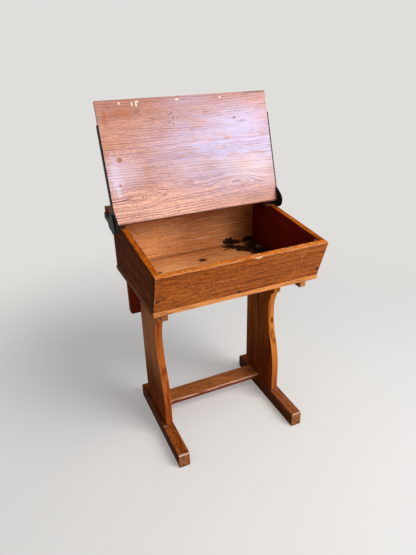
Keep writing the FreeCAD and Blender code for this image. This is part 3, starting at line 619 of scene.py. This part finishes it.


# Standards: the two curved planks that carry the box, sawn to shape, with the grain upright. Their flat faces
# have dark vertical streaks, and the sawn curves at the front are rubbed orange, with a dark nick in the
# right one at knee height. Light is painted on the upper part of the left one's outer face, and a highlight
# on the sawn curves of the right one.

leg_low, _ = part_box("left_leg")
legs = Finish("standard_wood", lie=(0, 90, 0), centre=(0, leg_low[1], leg_low[2]))
legs.wood(line=shade(58, 24, 4), body=shade(156, 84, 30), light=shade(176, 102, 46), gap=0.015,
          heart=(-0.6, 0.05, -0.04), arches=((0.1, 0.9, 0.02),), lines=0.95, fibres=0.9, mottle=0.18)
leg_side, _, leg_up = legs.parts(legs.here)
low_down = legs.share(leg_up, 0.34, 0.12)
legs.coat(low_down, shade(92, 28, 2), 0.65)
# Painted light on the upper part of the left standard's outer face.
left_outside = legs.share(leg_side, leg_low[0] + 0.004, leg_low[0] + 0.001)
left_leg_painted_light = legs.times(left_outside, legs.share(leg_up, 0.16, 0.32))
legs.coat(left_leg_painted_light, shade(190, 128, 88), 0.45)
sawn = legs.share(legs.unsigned(legs.facing()[0]), 0.75, 0.45)
legs.coat(sawn, shade(197, 104, 39), 0.9)
# A painted highlight on the right standard's sawn curves, painted lighter than the left's.
right_sawn_highlight = legs.times(sawn, legs.share(leg_side, 0.0, 0.1))
legs.coat(right_sawn_highlight, shade(222, 136, 56), 0.6)
sawn_low = legs.times(sawn, legs.share(leg_up, 0.30, 0.10))
legs.coat(sawn_low, shade(160, 74, 30), 0.55)
sawn_streaks = legs.streaks(6, 70, 0.50, 0.68, shift=21.0)
legs.coat(legs.times(sawn, sawn_streaks), shade(116, 38, 16), 0.7)
legs.coat(legs.edges(0.003), rubbed_wood, 0.4)
knee_nick = (0.219, -0.027, 0.343)
shin_bruise = (-0.208, -0.063, 0.222)
legs.mark(knee_nick, (0.006, 0.01, 0.014), shade(44, 20, 10), 0.85, ragged=0.006)
legs.mark(shin_bruise, (0.006, 0.01, 0.05), shade(104, 36, 26), 0.6, ragged=0.012)
# Dirt and painted shade in the joints and corners.
legs.coat(legs.corners(0.02), dirt_and_shade, 0.6)
put_on(legs.done(gloss=0.55, sheen=0.01), "left_leg", "right_leg")


# Feet: two plain runners on the floor, of the same wood, grain from front to rear, with a slot in which a
# standard stands. The arris at the front has a pale painted highlight, the sides have gone dark, and dust
# lies before each standard. The right runner is scuffed grey in front and has gone dark at the rear.

foot_low, foot_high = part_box("left_foot")
foot_front = foot_low[1]
foot_top = foot_high[2]
feet = Finish("foot_wood", lie=(90, 0, 90), centre=(0, foot_front, foot_low[2]))
feet.wood(line=shade(70, 26, 6), body=shade(164, 84, 28), light=shade(182, 102, 44), gap=0.009,
          heart=(-0.1, 0.02, -0.02), arches=((-0.07, 0.30, 0.04),), lines=0.5, fibres=0.85, mottle=0.32)
foot_sides = feet.share(feet.unsigned(feet.facing()[0]), 0.6, 0.9)
feet.coat(foot_sides, shade(62, 22, 2), 0.88)
_, foot_back, foot_up = feet.parts(feet.here)
toe_end = feet.share(foot_back, foot_front + 0.004, foot_front + 0.001)
feet.coat(toe_end, shade(178, 120, 80), 0.6)
toe_dirt = feet.cloud(feet.here, 105.0, 0.42, 0.62, detail=4.0)
feet.coat(feet.times(toe_end, toe_dirt), shade(70, 30, 14), 0.6)
# A pale painted highlight along the arris at the front.
toe_arris_highlight = feet.times(feet.share(foot_back, foot_front + 0.006, foot_front + 0.002),
                    feet.share(foot_up, foot_top - 0.006, foot_top - 0.002))
toe_arris_highlight = feet.times(toe_arris_highlight, feet.cloud(feet.here, 90.0, 0.36, 0.56))
feet.coat(toe_arris_highlight, shade(232, 194, 178), 0.8)
right_foot = 0.235
feet.mark((right_foot, -0.150, foot_top), (0.06, 0.14, 0.03), shade(176, 118, 88), 0.28, ragged=0.02,
          soft=0.8)
feet.mark((right_foot, foot_high[1], foot_top), (0.06, 0.06, 0.03), shade(84, 38, 26), 0.65, ragged=0.02,
          soft=0.5)
dust_back = leg_low[1] - 0.001
for dust_side in (-0.228, 0.222):
    feet.mark((dust_side, dust_back, foot_top), (0.015, 0.006, 0.01), shade(150, 128, 128), 0.6,
              ragged=0.004)
feet.coat(feet.edges(0.004), shade(206, 140, 92), 0.5)
# Dirt and painted shade in the joints and corners.
feet.coat(feet.corners(0.02), dirt_and_shade, 0.6)
put_on(feet.done(gloss=0.5, sheen=0.02), "left_foot", "right_foot")


# Stretcher: the foot board between the two runners, let into them, with its grain across the desk. Its front
# arris, rubbed round by shoes, has a pale painted highlight along it, and its front edge is dark.

stretcher_low, stretcher_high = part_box("stretcher")
stretcher_front = stretcher_low[1]
stretcher_top = stretcher_high[2]
stretcher = Finish("stretcher_wood", centre=(0, stretcher_front, stretcher_top))
stretcher.wood(line=shade(96, 42, 10), body=shade(190, 110, 44), light=shade(206, 128, 60), gap=0.009,
               heart=(-0.05, 0.03, -0.02), lines=0.5, fibres=0.85, mottle=0.22)
_, stretcher_back, stretcher_up = stretcher.parts(stretcher.here)
front_edge = stretcher.share(stretcher_back, stretcher_front + 0.003, stretcher_front + 0.001)
stretcher.coat(front_edge, shade(112, 46, 20), 0.8)
# A pale painted highlight along the front arris.
worn_arris_highlight = stretcher.times(stretcher.share(stretcher_back, stretcher_front + 0.0065, stretcher_front + 0.004),
                           stretcher.share(stretcher_up, stretcher_top - 0.005, stretcher_top - 0.0025))
worn_arris_highlight = stretcher.times(worn_arris_highlight, stretcher.streaks(14, 90, 0.36, 0.54, shift=6.0))
stretcher.coat(worn_arris_highlight, shade(234, 186, 158), 0.85)
# Dirt and painted shade in the joints and corners.
stretcher.coat(stretcher.corners(0.02), dirt_and_shade, 0.6)
put_on(stretcher.done(gloss=0.46, sheen=0.15), "stretcher")


# Rear rail and cleats: the rail is screwed behind the standards under the box, and a cleat joins each
# standard to the box's bottom. Both are coloured darker than the rest, as painted shade for their place under
# the box, and the cleats' front ends are painted lighter, as painted light.

# The rail's dark red body is painted shade, for its place under the box.
rail = Finish("rear_rail_wood", lie=(90, 0, 0), centre=(0, 0.133, 0.411))
rail.wood(line=shade(52, 14, 2), body=shade(122, 38, 8), light=shade(138, 50, 14), gap=0.010,
          heart=(-0.1, 0.06, -0.02))
rail.coat(rail.edges(0.004), shade(150, 78, 38), 0.4)
# Dirt and painted shade in the joints and corners.
rail.coat(rail.corners(0.02), dirt_and_shade, 0.6)
put_on(rail.done(gloss=0.55, sheen=0.04), "rear_rail")

cleats = Finish("cleat_wood", lie=(90, 0, 90), centre=(0, -0.173, 0.53))
cleats.wood(line=shade(62, 26, 8), body=shade(126, 68, 30), light=shade(140, 80, 40), gap=0.008,
            heart=(0.1, 0.01, -0.02))
cleat_side, cleat_back, _ = cleats.parts(cleats.here)
cleat_front = -0.1715
# Painted light on the cleats' front ends, which face the light, and more on the right one.
cleat_front_painted_light = cleats.share(cleat_back, cleat_front + 0.0035, cleat_front)
cleats.coat(cleat_front_painted_light, shade(178, 104, 54), 0.75)
right_cleat_front_painted_light = cleats.times(cleat_front_painted_light, cleats.share(cleat_side, 0.0, 0.1))
cleats.coat(right_cleat_front_painted_light, shade(226, 150, 84), 0.7)
cleats.coat(cleats.edges(0.003), shade(170, 104, 62), 0.4)
# Dirt and painted shade in the joints and corners.
cleats.coat(cleats.corners(0.02), dirt_and_shade, 0.5)
put_on(cleats.done(gloss=0.5, sheen=0.1), "left_cleat", "right_cleat")


# Box nails: small cut nails through the front board into the ends of the side boards, with their heads driven
# level with its face and gone dark.

nail_head = 0.0026
nail_depth = 0.0016
nail_side = 0.2655
face_foot = Vector((0, -0.1965, 0.6035))
face_lean = math.radians(front_lean)

# Each nail: the left or the right end of the board, and how far up it is from the foot of the face.
nail_places = ((-1, 0.027), (-1, 0.067), (1, 0.011), (1, 0.067))
nails = bmesh.new()
for sign, up in nail_places:
    head = bmesh.ops.create_cone(nails, cap_ends=True, segments=12, radius1=nail_head, radius2=nail_head,
                                 depth=nail_depth)["verts"]
    spot = face_foot + Vector((sign * nail_side, -up * math.tan(face_lean), up))
    out = Matrix.Rotation(math.radians(90) + face_lean, 4, "X")
    sunk = Matrix.Translation((0, 0, -nail_depth / 2))
    bmesh.ops.transform(nails, matrix=Matrix.Translation(spot) @ out @ sunk, verts=head)
box_nails = piece_from(nails, "box_nails", worn_steel)
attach(box_nails, "desk")


# Studio: a wide pale floor that takes the desk's soft shadow and fades into the same pale surroundings, one
# large soft lamp in front at the right, and one above that gives no highlights.

surround = shade(224, 222, 219)


def background(recipe):
    """1 for what the camera sees, and for what shows in polish or through glass. 0 for light on the desk."""
    ray = recipe.add("LightPath").outputs
    mirrored = recipe.larger(ray["Is Glossy Ray"], ray["Is Transmission Ray"])
    return recipe.larger(ray["Is Camera Ray"], mirrored)


# Near the desk the floor stays matt and takes its shadow. Further off it fades into the surroundings.
pale_floor = bpy.data.materials.new("pale_floor")
floor = Recipe(pale_floor)
matt = floor.add("BsdfDiffuse", {"Color": shade(242, 240, 237)}).outputs[0]
far_off = floor.add("Emission", {"Color": surround}).outputs[0]
from_desk = floor.length(floor.add("TexCoord").outputs["Object"])
fade_limits = {"Value": from_desk, "From Min": 0.6, "From Max": 1.9, "To Min": 0.3}
fade = floor.add("MapRange", fade_limits, interpolation_type="SMOOTHSTEP").outputs[0]
faded_in = floor.times(fade, background(floor))
fading_floor = floor.add("MixShader", {0: faded_in, 1: matt, 2: far_off}).outputs[0]
floor.add("OutputMaterial", {"Surface": fading_floor})

ground = bmesh.new()
bmesh.ops.create_circle(ground, cap_ends=True, segments=96, radius=30.0)
studio_floor = piece_from(ground, "studio_floor", pale_floor)

studio = bpy.data.worlds.new("studio")
room = Recipe(studio)
soft_light = room.add("Background", {"Color": (0.93, 0.96, 1.0, 1), "Strength": 0.30}).outputs[0]
backdrop = room.add("Background", {"Color": surround, "Strength": 1.0}).outputs[0]
surroundings = room.add("MixShader", {0: background(room), 1: soft_light, 2: backdrop}).outputs[0]
room.add("OutputWorld", {"Surface": surroundings})
bpy.context.scene.world = studio


def lamp(name, place, aim, size, power, colour, shown=True):
    """A soft box at a place, turned towards a point. One that isn't shown gives no highlights."""
    data = bpy.data.lights.new(name, "AREA")
    data.shape = "RECTANGLE"
    data.size, data.size_y = size
    data.energy = power
    data.color = colour
    made = bpy.data.objects.new(name, data)
    made.location = place
    made.rotation_euler = (Vector(aim) - Vector(place)).to_track_quat("-Z", "Y").to_euler()
    made.visible_glossy = shown
    bpy.context.collection.objects.link(made)


lamp("overhead_lamp", (1.0, -1.6, 3.1), (0, 0, 0.65), size=(1.6, 1.6), power=62, colour=(1.0, 0.93, 0.84),
     shown=False)
lamp("front_lamp", (1.55, -2.35, 2.15), (0, 0, 0.8), size=(1.9, 1.4), power=50, colour=(0.78, 0.88, 1.0))
bpy.context.scene.view_settings.view_transform = "Standard"


# Camera: at head height before the desk, a little to its left. It is turned to the right to face the desk,
# looks down at it, and is held very slightly out of level.

eye = Vector((-0.5841, -1.2740, 1.2470))
turned_right = math.radians(23.809)
looking_down = math.radians(26.263)
out_of_level = math.radians(-1.454)
camera_data = bpy.data.cameras.new("camera")
camera_data.sensor_fit = "HORIZONTAL"
camera_data.sensor_width = 36.0
camera_data.lens = 40.325
camera = bpy.data.objects.new("camera", camera_data)
heading = Matrix.Rotation(-turned_right, 4, "Z")
tilt = Matrix.Rotation(math.radians(90) - looking_down, 4, "X")
roll = Matrix.Rotation(out_of_level, 4, "Z")
camera.matrix_world = Matrix.Translation(eye) @ heading @ tilt @ roll
bpy.context.collection.objects.link(camera)
bpy.context.scene.camera = camera
